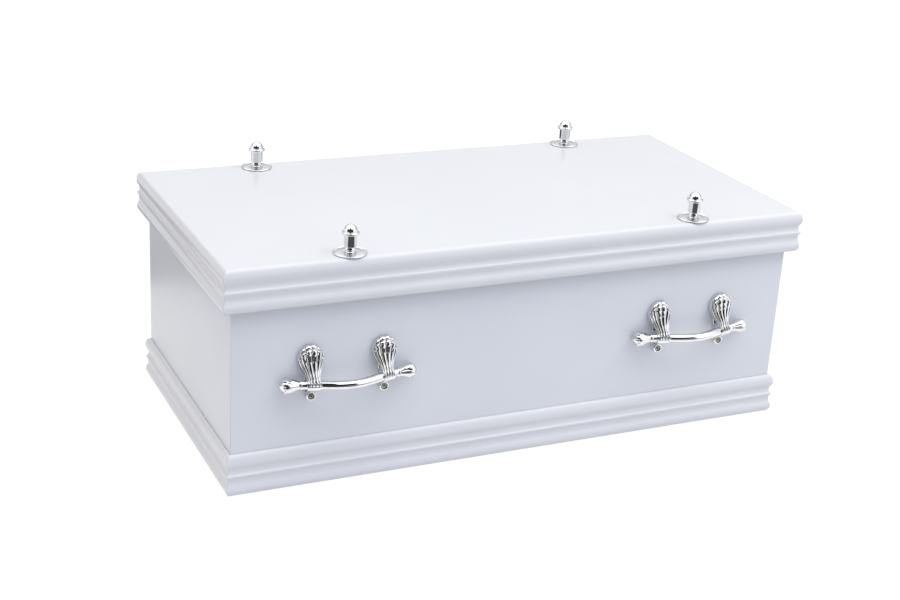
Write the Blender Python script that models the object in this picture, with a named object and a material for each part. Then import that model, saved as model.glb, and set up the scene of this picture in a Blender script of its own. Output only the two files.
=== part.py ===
# A small painted casket: a mitred box of board on a reeded foot moulding, a cap lid with the same
# moulding round its edge, four knob-headed lid screws on round plates, and four bowed bar handles
# held by shell-shaped lugs.
# Metres, +Z up, +X along the length, the front faces -Y. The origin is the centre of the underside.

import math

import bmesh
import bpy
from mathutils import Vector

# ---- sizes -------------------------------------------------------------------------------------
LENGTH = 0.760  # walls, outside
WIDTH = 0.364
TOTAL_HEIGHT = 0.2875  # floor to lid top
WALL_T = 0.015
FLOOR_T = 0.012
LID_T = 0.012
LID_REACH = 0.0065  # lid board beyond the walls, all round
GAP = 0.0003  # joint between touching pieces
MITRE = 0.00022  # each strip's share of a mitre joint

MOULD_H = 0.053  # the reeded strip, the same on foot and lid
MOULD_T = 0.006

LID_UNDER = TOTAL_HEIGHT - LID_T  # where the lid board rests on the walls
SCREW_X = 0.2345  # lid screws, from the middle
SCREW_Y = WIDTH / 2 - WALL_T / 2  # over the middle of a wall's top edge

PLATE_R = 0.0202  # lid screw's round plate
PLATE_HOLE_R = 0.0031
PLATE_HUB_Z = 0.0016  # top of the plate at its hole
SHANK_R = 0.0025
SHANK_LEN = 0.022  # into the wall
KNOB_BALL_R = 0.0063
KNOB_BALL_Z = 0.0043
KNOB_STEM_R = 0.0075
KNOB_STEM_Z = 0.0080
KNOB_COLLAR_R = 0.0104
KNOB_COLLAR_Z = 0.0233
KNOB_COLLAR_T = 0.0031
KNOB_DOME_R = 0.0082
KNOB_H = 0.0350  # above the lid

HANDLE_X = 0.238  # middle of a handle, from the middle of the casket
LUG_X = 0.0465  # lugs, from the middle of a handle
BAR_Z = 0.137
BAR_R = 0.0055
BAR_MID_OUT = 0.029  # bar's axis in front of the wall, at its middle
BAR_BOW = 0.0203  # how far the ends fall back towards the wall
BAR_BOW_X = 0.050
BUD_FROM = 0.0605  # bud-shaped ends, from the middle of the bar
BUD_TIP = 0.088
BUD_R = 0.0096
BAR_CLEAR = 0.0004

SHELL_TOP_Z = 0.1826  # fluted shell, at the top of its middle
SHELL_WIDE_Z = 0.1655
SHELL_FOOT_Z = 0.1375  # where its ribs end on the front of the collar
SHELL_HALF_W = 0.0159
SHELL_FOOT_HALF_W = 0.0076
SHELL_NECK = 0.30  # share of its height that stays narrow
SHELL_T = 0.0040  # at its sides
SHELL_RIBS = 6
SHELL_RIB = 0.0012
SHELL_OUT_TOP = 0.0066  # front of the shell from the wall, at its top edge
SHELL_BELLY = 0.0058  # how much further out it is once past its rim
SHELL_OUT_FOOT = 0.0254  # and where its ribs end
SHELL_EDGE_TOP = 0.0050  # the same at its sides
SHELL_EDGE_FOOT = 0.0249
COLLAR_R = 0.0074
COLLAR_HALF = 0.0082
COLLAR_TILT = 0.75  # how far a collar turns with the bar's slant
BACKPLATE_T = 0.0026
BACKPLATE_TOP_Z = 0.1800
BACKPLATE_WIDE_Z = 0.1650
BACKPLATE_HALF_W = 0.0132
BACKPLATE_WAIST = 0.0048
BOSS_Z = 0.1195
BOSS_R = 0.0064
BOSS_OUT = 0.0098
BOSS_SINK = 0.0022
BOSS_SINK_R = 0.0042
LUG_SCREW_HEAD_R = 0.0040
LUG_SCREW_HEAD_T = 0.0016
LUG_SCREW_R = 0.0016
LUG_SCREW_IN = 0.0105  # into the wall

WHITE = (0.80, 0.81, 0.83, 1.0)
CHROME = (0.86, 0.87, 0.89, 1.0)

for old in list(bpy.data.objects):
    bpy.data.objects.remove(old, do_unlink=True)


# ---- helpers -----------------------------------------------------------------------------------
def paint(name, colour, roughness, metallic):
    mat = bpy.data.materials.new(name)
    mat.use_nodes = True
    shader = mat.node_tree.nodes["Principled BSDF"]
    shader.inputs["Base Color"].default_value = colour
    shader.inputs["Roughness"].default_value = roughness
    shader.inputs["Metallic"].default_value = metallic
    mat.diffuse_color = colour
    return mat


def add_object(name, verts, faces, mat, smooth=False):
    """A mesh object of one closed shape or more, with its faces turned out."""
    bm = bmesh.new()
    points = [bm.verts.new(v) for v in verts]
    for face in faces:
        bm.faces.new([points[i] for i in face])
    bmesh.ops.recalc_face_normals(bm, faces=bm.faces)
    mesh = bpy.data.meshes.new(name)
    bm.to_mesh(mesh)
    bm.free()
    obj = bpy.data.objects.new(name, mesh)
    bpy.context.scene.collection.objects.link(obj)
    if mat is not None:
        mesh.materials.append(mat)
    if smooth:
        mesh.polygons.foreach_set("use_smooth", [True] * len(mesh.polygons))
        mesh.set_sharp_from_angle(angle=math.radians(40))
    return obj


def tube_faces(rings, around, caps=True):
    """Faces of a loft through rings of the same number of points, its ends closed."""
    faces = []
    for i in range(rings - 1):
        for j in range(around):
            k = (j + 1) % around
            faces.append((i * around + j, i * around + k, (i + 1) * around + k, (i + 1) * around + j))
    if caps:
        faces.append(tuple(range(around)))
        last = (rings - 1) * around
        faces.append(tuple(range(last, last + around)))
    return faces


def ring(centre, side, up, radius, around, turn=0.0):
    return [
        centre
        + side * (radius * math.cos(turn + 2 * math.pi * i / around))
        + up * (radius * math.sin(turn + 2 * math.pi * i / around))
        for i in range(around)
    ]


def rod(start, end, radius, around):
    """Points and faces of a closed round bar."""
    axis = (end - start).normalized()
    side = axis.orthogonal().normalized()
    up = axis.cross(side)
    verts = ring(start, side, up, radius, around) + ring(end, side, up, radius, around)
    return verts, tube_faces(2, around)


def lathe(profile, around, centre, axis=Vector((0, 0, 1))):
    """Points and faces of (radius, height) turned about an axis. A profile that starts and ends on
    the axis gives a solid, and one that doesn't is closed on itself as a ring."""
    side = Vector((1, 0, 0)) if abs(axis.x) < 0.5 else Vector((0, 1, 0))
    up = axis.cross(side)
    verts, rows = [], []
    for radius, height in profile:
        rows.append(len(verts))
        if radius < 1e-7:
            verts.append(centre + axis * height)
        else:
            verts += ring(centre + axis * height, side, up, radius, around)
    faces = []
    count = len(profile)
    solid = profile[0][0] < 1e-7
    for i in range(count - 1 if solid else count):
        a, b = i, (i + 1) % count
        for j in range(around):
            k = (j + 1) % around
            if profile[a][0] < 1e-7:
                faces.append((rows[a], rows[b] + k, rows[b] + j))
            elif profile[b][0] < 1e-7:
                faces.append((rows[a] + j, rows[a] + k, rows[b]))
            else:
                faces.append((rows[a] + j, rows[a] + k, rows[b] + k, rows[b] + j))
    return verts, faces


def arc(centre, radii, start, end, steps):
    """Points of an elliptical arc, angles in degrees."""
    found = []
    for i in range(steps + 1):
        angle = math.radians(start + (end - start) * i / steps)
        found.append((centre[0] + radii[0] * math.cos(angle), centre[1] + radii[1] * math.sin(angle)))
    return found


def merge(shapes):
    verts, faces = [], []
    for shape_verts, shape_faces in shapes:
        base = len(verts)
        verts += shape_verts
        faces += [tuple(i + base for i in face) for face in shape_faces]
    return verts, faces


def boolean(obj, operation, name, verts, faces):
    """Joins or cuts with a hidden closed shape."""
    other = add_object(name, verts, faces, None)
    other.hide_render = True
    other.display_type = "WIRE"
    other.hide_set(True)
    modifier = obj.modifiers.new(name, "BOOLEAN")
    modifier.operation = operation
    modifier.solver = "EXACT"
    modifier.object = other
    return modifier


# ---- the reeded strip --------------------------------------------------------------------------
def moulding_profile(fine):
    """(projection from the strip's back, height) from the top of the crown bead down to the foot."""
    t, h = MOULD_T, MOULD_H
    lip_w, lip_v = 0.0055, 0.0246
    crown_v, crown_side = h - 0.010, 0.0032
    points = arc((0.0, crown_v), (t, h - crown_v), 90, 0, 4 * fine)
    points += arc((crown_side, crown_v), (t - crown_side, 0.0065), 0, -60, fine)[1:]
    # upper cove, out to the lip
    points += arc((0.0063, 0.0322), (0.0034, 0.0060), 120, 256, 4 * fine)
    points.append((lip_w, lip_v))
    # lower cove
    points += arc((0.0066, 0.0180), (0.0032, 0.0070), 110, 238, 3 * fine)[1:]
    # foot bead
    points += arc((0.0026, 0.00725), (t - 0.0026, 0.0065), 47, -75, 4 * fine)
    points += [(0.0032, 0.0), (0.0, 0.0)]
    return points


def moulding(name, side, half_len, half_wid, foot_z, mat):
    """One mitred strip on one side of a rectangle of the given half sizes."""
    profile = moulding_profile(1)
    verts = []
    for end in (-1, 1):
        for projection, height in profile:
            across = projection + GAP
            if side in ("front", "back"):
                sign = -1 if side == "front" else 1
                verts.append(Vector((end * (half_len + across - MITRE), sign * (half_wid + across), foot_z + height)))
            else:
                sign = -1 if side == "left" else 1
                verts.append(Vector((sign * (half_len + across), end * (half_wid + across - MITRE), foot_z + height)))
    return add_object(name, verts, tube_faces(2, len(profile)), mat, smooth=True)


# ---- walls, floor and lid board ----------------------------------------------------------------
def prism(outline, low, high):
    count = len(outline)
    verts = [Vector((x, y, low)) for x, y in outline] + [Vector((x, y, high)) for x, y in outline]
    return verts, tube_faces(2, count)


def wall(name, side, mat):
    hl, hw, t = LENGTH / 2, WIDTH / 2, WALL_T
    if side in ("front", "back"):
        s = -1 if side == "front" else 1
        outline = [
            (-hl + MITRE, s * hw),
            (hl - MITRE, s * hw),
            (hl - t - MITRE, s * (hw - t)),
            (-hl + t + MITRE, s * (hw - t)),
        ]
    else:
        s = -1 if side == "left" else 1
        outline = [
            (s * hl, -hw + MITRE),
            (s * hl, hw - MITRE),
            (s * (hl - t), hw - t - MITRE),
            (s * (hl - t), -hw + t + MITRE),
        ]
    return add_object(name, *prism(outline, 0.0, LID_UNDER - GAP), mat)


def lug_places(sign):
    return [(sign_x * HANDLE_X + lug * LUG_X, sign) for sign_x in (-1, 1) for lug in (-1, 1)]


def drilled_wall(name, side, mat):
    """A long wall with its blind holes: two in the top edge for the lid screws, four in the face for
    the handles' screws."""
    obj = wall(name, side, mat)
    s = -1 if side == "front" else 1
    holes = []
    for sx in (-1, 1):
        top = Vector((sx * SCREW_X, s * SCREW_Y, LID_UNDER + 0.004))
        bottom = Vector((sx * SCREW_X, s * SCREW_Y, LID_UNDER - SHANK_LEN - 0.002))
        holes.append(rod(bottom, top, SHANK_R + 0.0004, 8))
    for x, _ in lug_places(s):
        outer = Vector((x, s * (WIDTH / 2 + 0.003), BOSS_Z))
        inner = Vector((x, s * (WIDTH / 2 - LUG_SCREW_IN - 0.001), BOSS_Z))
        holes.append(rod(inner, outer, LUG_SCREW_R + 0.0004, 8))
    boolean(obj, "DIFFERENCE", name + "_holes", *merge(holes))
    return obj


def lid_board(mat):
    hl, hw = LENGTH / 2 + LID_REACH, WIDTH / 2 + LID_REACH
    outline = [(-hl, -hw), (hl, -hw), (hl, hw), (-hl, hw)]
    obj = add_object("lid_board", *prism(outline, LID_UNDER, TOTAL_HEIGHT), mat)
    holes = []
    for sx in (-1, 1):
        for sy in (-1, 1):
            low = Vector((sx * SCREW_X, sy * SCREW_Y, LID_UNDER - 0.004))
            high = Vector((sx * SCREW_X, sy * SCREW_Y, TOTAL_HEIGHT + 0.004))
            holes.append(rod(low, high, SHANK_R + 0.0006, 8))
    boolean(obj, "DIFFERENCE", "lid_board_holes", *merge(holes))
    return obj


def floor_board(mat):
    hl, hw = LENGTH / 2 - WALL_T - GAP, WIDTH / 2 - WALL_T - GAP
    outline = [(-hl, -hw), (hl, -hw), (hl, hw), (-hl, hw)]
    return add_object("floor_board", *prism(outline, 0.0, FLOOR_T), mat)


# ---- lid screws --------------------------------------------------------------------------------
def plate_profile():
    """Round plate: a rolled rim, a shallow hollow and a flat middle round its hole."""
    points = [(PLATE_HOLE_R, 0.0), (PLATE_R - 0.0005, 0.0), (PLATE_R, 0.0008), (PLATE_R - 0.0005, 0.0017)]
    points += [(PLATE_R - 0.0024, 0.0012), (PLATE_R * 0.55, 0.0021), (PLATE_HOLE_R, PLATE_HUB_Z)]
    return points


def knob_profile():
    """Knob-headed screw, heights above the lid: shank, ball, stem, collar and dome."""
    tip = -(LID_T + SHANK_LEN)
    points = [(0.0, tip), (SHANK_R, tip + 0.0015), (SHANK_R, PLATE_HUB_Z + GAP)]
    low = math.degrees(math.asin((PLATE_HUB_Z + GAP - KNOB_BALL_Z) / KNOB_BALL_R))
    points += arc((0.0, KNOB_BALL_Z), (KNOB_BALL_R, KNOB_BALL_R), low, 32, 2)
    points += [(KNOB_STEM_R, KNOB_STEM_Z)]
    top = KNOB_COLLAR_Z + KNOB_COLLAR_T
    points += [(KNOB_STEM_R, KNOB_COLLAR_Z), (KNOB_COLLAR_R - 0.0007, KNOB_COLLAR_Z)]
    points += [(KNOB_COLLAR_R, KNOB_COLLAR_Z + KNOB_COLLAR_T / 2), (KNOB_COLLAR_R - 0.0007, top), (KNOB_DOME_R, top)]
    points += arc((0.0, KNOB_H - KNOB_DOME_R), (KNOB_DOME_R, KNOB_DOME_R), 0, 90, 3)
    points[-1] = (0.0, KNOB_H)
    return points


# ---- handles -----------------------------------------------------------------------------------
def bar_out(x):
    """Distance of the bar's axis from the wall, x along the bar from its middle."""
    return BAR_MID_OUT - BAR_BOW * (1 - math.exp(-((x / BAR_BOW_X) ** 2)))


def bar_slope(x):
    return -BAR_BOW * (2 * x / BAR_BOW_X**2) * math.exp(-((x / BAR_BOW_X) ** 2))


def bar_radius(x):
    """Round bar, a ring, a waist and a bud that closes to its tip."""
    a = abs(x)
    if a <= BUD_FROM:
        return BAR_R
    t = (a - BUD_FROM) / (BUD_TIP - BUD_FROM)
    if t < 0.08:
        return BAR_R + 0.0006
    if t < 0.70:
        s = (t - 0.08) / 0.62
        return 0.0050 + (BUD_R - 0.0050) * math.sin(s * math.pi / 2) ** 1.2
    s = (t - 0.70) / 0.30
    return max(0.0012, BUD_R * max(0.0, math.cos(s * math.pi / 2)) ** 0.8)


def handle_point(cx, sign, x, out, z):
    return Vector((cx + x, sign * (WIDTH / 2 + out), z))


def bar_stations():
    half = [0.0, 0.014, 0.028, 0.040, 0.052, BUD_FROM - 0.0004]
    half += [BUD_FROM + (BUD_TIP - BUD_FROM) * t for t in (0.04, 0.11, 0.38, 0.70, 0.90, 1.0)]
    return [-x for x in reversed(half[1:])] + half


def handle_bar(name, cx, sign, mat):
    around = 10
    verts = []
    stations = bar_stations()
    for x in stations:
        slope = bar_slope(x)
        run = math.hypot(1.0, slope)
        nx, no = -slope / run, 1.0 / run
        r = bar_radius(x)
        lobed = 0.045 if abs(x) > BUD_FROM + 0.0045 else 0.0
        for i in range(around):
            angle = 2 * math.pi * i / around
            rr = r * (1.0 - lobed + (lobed if i % 2 == 0 else -lobed))
            side, up = rr * math.cos(angle), rr * math.sin(angle)
            verts.append(handle_point(cx, sign, x + nx * side, bar_out(x) + no * side, BAR_Z + up))
    return add_object(name, verts, tube_faces(len(stations), around), mat, smooth=True)


def shell_edge(v):
    """How far the sides of the shell's front stand off the wall."""
    return SHELL_EDGE_TOP + (SHELL_EDGE_FOOT - SHELL_EDGE_TOP) * (1 - v) ** 1.45


def shell_middle(v):
    """How far the middle of the shell's front stands off the wall: steep under the rim, nearly
    upright to its waist, and then out to the bar."""
    belly = SHELL_BELLY * (1 - math.exp(-(1 - v) / 0.14))
    sweep = (SHELL_OUT_FOOT - SHELL_OUT_TOP - SHELL_BELLY) * 0.5 * (1 + math.cos(math.pi * min(1.0, v / 0.66)))
    return SHELL_OUT_TOP + belly + sweep


def shell_point(u, v, slant):
    """Front of the shell: u from side to side, -1 to 1, v from its foot to the scalloped top."""
    a = u * math.pi / 2
    cosine = max(0.0, math.cos(a))
    spread = math.sin(max(0.0, v - SHELL_NECK) / (1 - SHELL_NECK) * math.pi / 2) ** 1.25
    half = SHELL_FOOT_HALF_W + (SHELL_HALF_W - SHELL_FOOT_HALF_W) * spread
    lobe = abs(math.sin(math.pi * SHELL_RIBS * (u + 1) / 2))
    x = half * math.sin(a)
    z = SHELL_FOOT_Z + (SHELL_WIDE_Z - SHELL_FOOT_Z) * v + (SHELL_TOP_Z - SHELL_WIDE_Z) * v**1.3 * cosine
    edge = shell_edge(v)
    out = edge + (shell_middle(v) - edge) * cosine**0.7 + SHELL_RIB * (0.55 + 0.45 * v) * (lobe - 0.5)
    if v > 0.99:
        z += 0.0008 * lobe * cosine
    return x, out + slant * x * (1 - v) ** 1.5, z


def shell(cx, sign, slant):
    """The fluted shell as a closed solid: it lies on the wall at its top and sweeps out to the bar."""
    cols, levels = 2 * SHELL_RIBS, (0.0, 0.20, 0.42, 0.74, 1.0)
    rows = len(levels) - 1
    verts = []
    for v in levels:
        for j in range(cols + 1):
            x, out, z = shell_point(-1 + 2 * j / cols, v, slant)
            verts.append(handle_point(cx, sign, x, out, z))
    boundary = [(0, j) for j in range(cols + 1)]
    boundary += [(i, cols) for i in range(1, rows + 1)]
    boundary += [(rows, j) for j in range(cols - 1, -1, -1)]
    boundary += [(i, 0) for i in range(rows - 1, 0, -1)]
    faces = []
    for i in range(rows):
        for j in range(cols):
            a = i * (cols + 1) + j
            faces.append((a, a + 1, a + cols + 2, a + cols + 1))
    rear = {}
    for i, j in boundary:
        x, _, z = shell_point(-1 + 2 * j / cols, levels[i], slant)
        back = max(0.0010, shell_edge(levels[i]) - SHELL_T)
        rear[(i, j)] = len(verts)
        verts.append(handle_point(cx, sign, x, back, z))
    count = len(boundary)
    for k in range(count):
        one, two = boundary[k], boundary[(k + 1) % count]
        a = one[0] * (cols + 1) + one[1]
        b = two[0] * (cols + 1) + two[1]
        faces.append((a, b, rear[two], rear[one]))
    faces.append(tuple(rear[(0, j)] for j in range(cols + 1)) + (rear[(1, cols)], rear[(1, 0)]))
    for i in range(1, rows):
        faces.append((rear[(i, 0)], rear[(i, cols)], rear[(i + 1, cols)], rear[(i + 1, 0)]))
    faces.append(tuple(rear[(rows, j)] for j in range(cols + 1)))
    return verts, faces


def backplate(cx, sign, low, high):
    """Plate on the wall behind the shell, drawn in to a waist and ending in a round ear under the bar."""
    fan = []
    for i in range(9):
        a = math.pi * (i / 8 - 0.5)
        fan.append((BACKPLATE_HALF_W * math.sin(a), BACKPLATE_WIDE_Z + (BACKPLATE_TOP_Z - BACKPLATE_WIDE_Z) * math.cos(a)))
    waist_z = BAR_Z - 0.009
    right = []
    for t in (0.2, 0.5, 1.0):
        half = BACKPLATE_WAIST + (BACKPLATE_HALF_W - BACKPLATE_WAIST) * (1 - t) ** 2
        right.append((half, BACKPLATE_WIDE_Z + (waist_z - BACKPLATE_WIDE_Z) * t))
    foot = [(BOSS_R * math.cos(math.radians(a)), BOSS_Z + BOSS_R * math.sin(math.radians(a))) for a in range(0, -181, -45)]
    left = [(-x, z) for x, z in reversed(right)]
    loop = fan + right + foot + left
    verts = [handle_point(cx, sign, x, low, z) for x, z in loop] + [handle_point(cx, sign, x, high, z) for x, z in loop]
    return verts, tube_faces(2, len(loop))


def collar(cx, sign, at, slant):
    """Round body across the foot of a lug, turned part of the way with the bar."""
    lean = Vector((1.0, slant, 0.0)).normalized()
    verts = []
    for end in (-1, 1):
        for i in range(12):
            angle = 2 * math.pi * (i + 0.5) / 12
            side, up = COLLAR_R * math.cos(angle), COLLAR_R * math.sin(angle)
            x = at + end * COLLAR_HALF * lean.x - lean.y * side
            out = bar_out(at) + end * COLLAR_HALF * lean.y + lean.x * side
            verts.append(handle_point(cx, sign, x, out, BAR_Z + up))
    return verts, tube_faces(2, 12)


def along_bar(cx, sign, at, half, radius, around, steps=1):
    """A short round body that follows the bar's axis."""
    verts = []
    for k in range(steps + 1):
        x = at - half + 2 * half * k / steps
        slope = bar_slope(x)
        run = math.hypot(1.0, slope)
        nx, no = -slope / run, 1.0 / run
        for i in range(around):
            angle = 2 * math.pi * (i + 0.5) / around
            side, up = radius * math.cos(angle), radius * math.sin(angle)
            verts.append(handle_point(cx, sign, x + nx * side, bar_out(x) + no * side, BAR_Z + up))
    return verts, tube_faces(steps + 1, around)


def lug(name, cx, sign, which, mat):
    """One lug: shell, backplate, collar round the bar, web and boss, with the bar's bore cut out."""
    at = which * LUG_X
    lx = cx + at
    slant = COLLAR_TILT * bar_slope(at)
    obj = add_object(name, *shell(lx, sign, slant), mat, smooth=False)
    boolean(obj, "UNION", name + "_plate", *backplate(lx, sign, GAP, BACKPLATE_T))
    boolean(obj, "UNION", name + "_collar", *collar(cx, sign, at, slant))
    web = [(-0.0046, 0.1300), (0.0046, 0.1300), (0.0060, 0.1450), (-0.0060, 0.1450)]
    web_verts = [handle_point(lx, sign, x, 0.0015, z) for x, z in web]
    web_verts += [handle_point(lx, sign, x, 0.0165, z) for x, z in web]
    boolean(obj, "UNION", name + "_web", web_verts, tube_faces(2, 4))
    boss = rod(
        handle_point(lx, sign, 0.0, 0.0013, BOSS_Z), handle_point(lx, sign, 0.0, BOSS_OUT, BOSS_Z), BOSS_R - 0.0003, 10
    )
    boolean(obj, "UNION", name + "_boss", *boss)
    bore = along_bar(cx, sign, at, COLLAR_HALF + 0.006, (BAR_R + BAR_CLEAR) / math.cos(math.pi / 12), 12, 2)
    boolean(obj, "DIFFERENCE", name + "_bore", *bore)
    sink = rod(
        handle_point(lx, sign, 0.0, BOSS_OUT - BOSS_SINK, BOSS_Z),
        handle_point(lx, sign, 0.0, BOSS_OUT + 0.004, BOSS_Z),
        BOSS_SINK_R,
        8,
    )
    boolean(obj, "DIFFERENCE", name + "_sink", *sink)
    hole = rod(
        handle_point(lx, sign, 0.0, -0.004, BOSS_Z), handle_point(lx, sign, 0.0, BOSS_OUT, BOSS_Z), LUG_SCREW_R + 0.0004, 8
    )
    boolean(obj, "DIFFERENCE", name + "_hole", *hole)
    return obj


def lug_screw(name, lx, sign, mat):
    seat = BOSS_OUT - BOSS_SINK + GAP
    head = seat + LUG_SCREW_HEAD_T
    profile = [(0.0, -LUG_SCREW_IN), (LUG_SCREW_R, -LUG_SCREW_IN + 0.002), (LUG_SCREW_R, seat)]
    profile += [(LUG_SCREW_HEAD_R, seat), (LUG_SCREW_HEAD_R, seat + 0.0007), (LUG_SCREW_HEAD_R * 0.62, head), (0.0, head)]
    centre = handle_point(lx, sign, 0.0, 0.0, BOSS_Z)
    return add_object(name, *lathe(profile, 8, centre, Vector((0, sign, 0))), mat, smooth=True)


# ---- the casket --------------------------------------------------------------------------------
white = paint("white_paint", WHITE, 0.35, 0.0)

drilled_wall("front_panel", "front", paint("paint_front_panel", WHITE, 0.35, 0.0))
drilled_wall("back_panel", "back", paint("paint_back_panel", WHITE, 0.35, 0.0))
wall("left_end_panel", "left", paint("paint_left_end_panel", WHITE, 0.35, 0.0))
wall("right_end_panel", "right", paint("paint_right_end_panel", WHITE, 0.35, 0.0))
floor_board(paint("paint_floor_board", WHITE, 0.45, 0.0))
lid_board(paint("paint_lid_board", WHITE, 0.32, 0.0))

for place in ("front", "back", "left", "right"):
    moulding("base_moulding_" + place, place, LENGTH / 2, WIDTH / 2, 0.0, paint("paint_base_" + place, WHITE, 0.33, 0.0))
    moulding(
        "lid_moulding_" + place,
        place,
        LENGTH / 2 + LID_REACH,
        WIDTH / 2 + LID_REACH,
        TOTAL_HEIGHT - MOULD_H,
        paint("paint_lid_" + place, WHITE, 0.33, 0.0),
    )

for side_name, sy in (("front", -1), ("back", 1)):
    for end_name, sx in (("left", -1), ("right", 1)):
        corner = side_name + "_" + end_name
        top = Vector((sx * SCREW_X, sy * SCREW_Y, TOTAL_HEIGHT + GAP))
        add_object(
            "lid_screw_plate_" + corner,
            *lathe(plate_profile(), 14, top),
            paint("chrome_plate_" + corner, CHROME, 0.08, 1.0),
            smooth=True,
        )
        add_object(
            "lid_screw_" + corner,
            *lathe(knob_profile(), 10, top),
            paint("chrome_knob_" + corner, CHROME, 0.06, 1.0),
            smooth=True,
        )
        handle_x = sx * HANDLE_X
        handle_bar("handle_bar_" + corner, handle_x, sy, paint("chrome_bar_" + corner, CHROME, 0.06, 1.0))
        for letter, which in (("a", -1), ("b", 1)):
            lug("handle_lug_" + corner + "_" + letter, handle_x, sy, which, paint("chrome_lug_" + corner + "_" + letter, CHROME, 0.08, 1.0))
            lug_screw(
                "handle_lug_screw_" + corner + "_" + letter,
                handle_x + which * LUG_X,
                sy,
                paint("chrome_screw_" + corner + "_" + letter, CHROME, 0.15, 1.0),
            )

bpy.data.materials.remove(white)
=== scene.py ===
import math

import bmesh
import bpy
from mathutils import Matrix, Vector


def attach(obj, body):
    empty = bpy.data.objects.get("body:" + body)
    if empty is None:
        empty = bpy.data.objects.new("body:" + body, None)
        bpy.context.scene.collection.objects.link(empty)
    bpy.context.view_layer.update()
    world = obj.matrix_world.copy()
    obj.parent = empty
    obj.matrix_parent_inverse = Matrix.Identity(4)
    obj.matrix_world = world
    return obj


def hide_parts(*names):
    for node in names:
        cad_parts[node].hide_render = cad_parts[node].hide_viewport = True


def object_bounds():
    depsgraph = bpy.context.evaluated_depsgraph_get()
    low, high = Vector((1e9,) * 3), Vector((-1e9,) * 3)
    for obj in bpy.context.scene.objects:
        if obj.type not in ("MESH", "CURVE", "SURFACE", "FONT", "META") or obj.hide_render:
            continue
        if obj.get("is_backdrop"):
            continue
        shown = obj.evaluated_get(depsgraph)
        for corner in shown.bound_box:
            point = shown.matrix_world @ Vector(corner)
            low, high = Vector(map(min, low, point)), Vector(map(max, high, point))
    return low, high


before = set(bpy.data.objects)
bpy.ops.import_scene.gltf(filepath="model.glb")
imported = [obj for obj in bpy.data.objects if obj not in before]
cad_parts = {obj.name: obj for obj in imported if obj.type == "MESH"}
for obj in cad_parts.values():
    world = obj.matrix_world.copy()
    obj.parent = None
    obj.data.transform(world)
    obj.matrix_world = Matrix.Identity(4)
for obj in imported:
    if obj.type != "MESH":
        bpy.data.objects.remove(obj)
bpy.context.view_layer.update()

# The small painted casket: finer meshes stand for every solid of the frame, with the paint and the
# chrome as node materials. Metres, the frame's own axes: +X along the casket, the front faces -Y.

# ---- sizes, the same as the solids' ------------------------------------------------------------
LENGTH, WIDTH, TOTAL_HEIGHT = 0.760, 0.364, 0.2875
WALL_T, FLOOR_T, LID_T, LID_REACH = 0.015, 0.012, 0.012, 0.0065
GAP = 0.0003
WALL_MITRE, STRIP_MITRE = 0.00010, 0.00014  # hairline joints, inside the solids' own
MOULD_H, MOULD_T = 0.053, 0.006
LID_UNDER = TOTAL_HEIGHT - LID_T
SCREW_X, SCREW_Y = 0.2345, WIDTH / 2 - WALL_T / 2

PLATE_R, PLATE_HOLE_R, PLATE_HUB_Z = 0.0202, 0.0031, 0.0016
SHANK_R, SHANK_LEN = 0.0025, 0.022
KNOB_BALL_R, KNOB_BALL_Z = 0.0063, 0.0043
KNOB_STEM_R, KNOB_STEM_Z = 0.0075, 0.0080
KNOB_COLLAR_R, KNOB_COLLAR_Z, KNOB_COLLAR_T = 0.0104, 0.0233, 0.0031
KNOB_DOME_R, KNOB_H = 0.0082, 0.0350

HANDLE_X, LUG_X, BAR_Z, BAR_R = 0.238, 0.0465, 0.137, 0.0055
BAR_MID_OUT, BAR_BOW, BAR_BOW_X = 0.029, 0.0203, 0.050
BUD_FROM, BUD_TIP, BUD_R, BAR_CLEAR = 0.0605, 0.088, 0.0096, 0.0004

SHELL_TOP_Z, SHELL_WIDE_Z, SHELL_FOOT_Z = 0.1826, 0.1655, 0.1375
SHELL_HALF_W, SHELL_FOOT_HALF_W, SHELL_RIBS, SHELL_RIB = 0.0159, 0.0076, 6, 0.0012
SHELL_NECK, SHELL_T = 0.30, 0.0040
SHELL_OUT_TOP, SHELL_BELLY, SHELL_OUT_FOOT, SHELL_EDGE_TOP, SHELL_EDGE_FOOT = 0.0066, 0.0058, 0.0254, 0.0050, 0.0249
COLLAR_R, COLLAR_HALF, COLLAR_TILT = 0.0074, 0.0082, 0.75
BACKPLATE_T, BACKPLATE_TOP_Z, BACKPLATE_WIDE_Z = 0.0026, 0.1800, 0.1650
BACKPLATE_HALF_W, BACKPLATE_WAIST = 0.0132, 0.0048
BOSS_Z, BOSS_R, BOSS_OUT, BOSS_SINK, BOSS_SINK_R = 0.1195, 0.0064, 0.0098, 0.0022, 0.0042
LUG_SCREW_HEAD_R, LUG_SCREW_HEAD_T, LUG_SCREW_R, LUG_SCREW_IN = 0.0040, 0.0016, 0.0016, 0.0105


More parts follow.
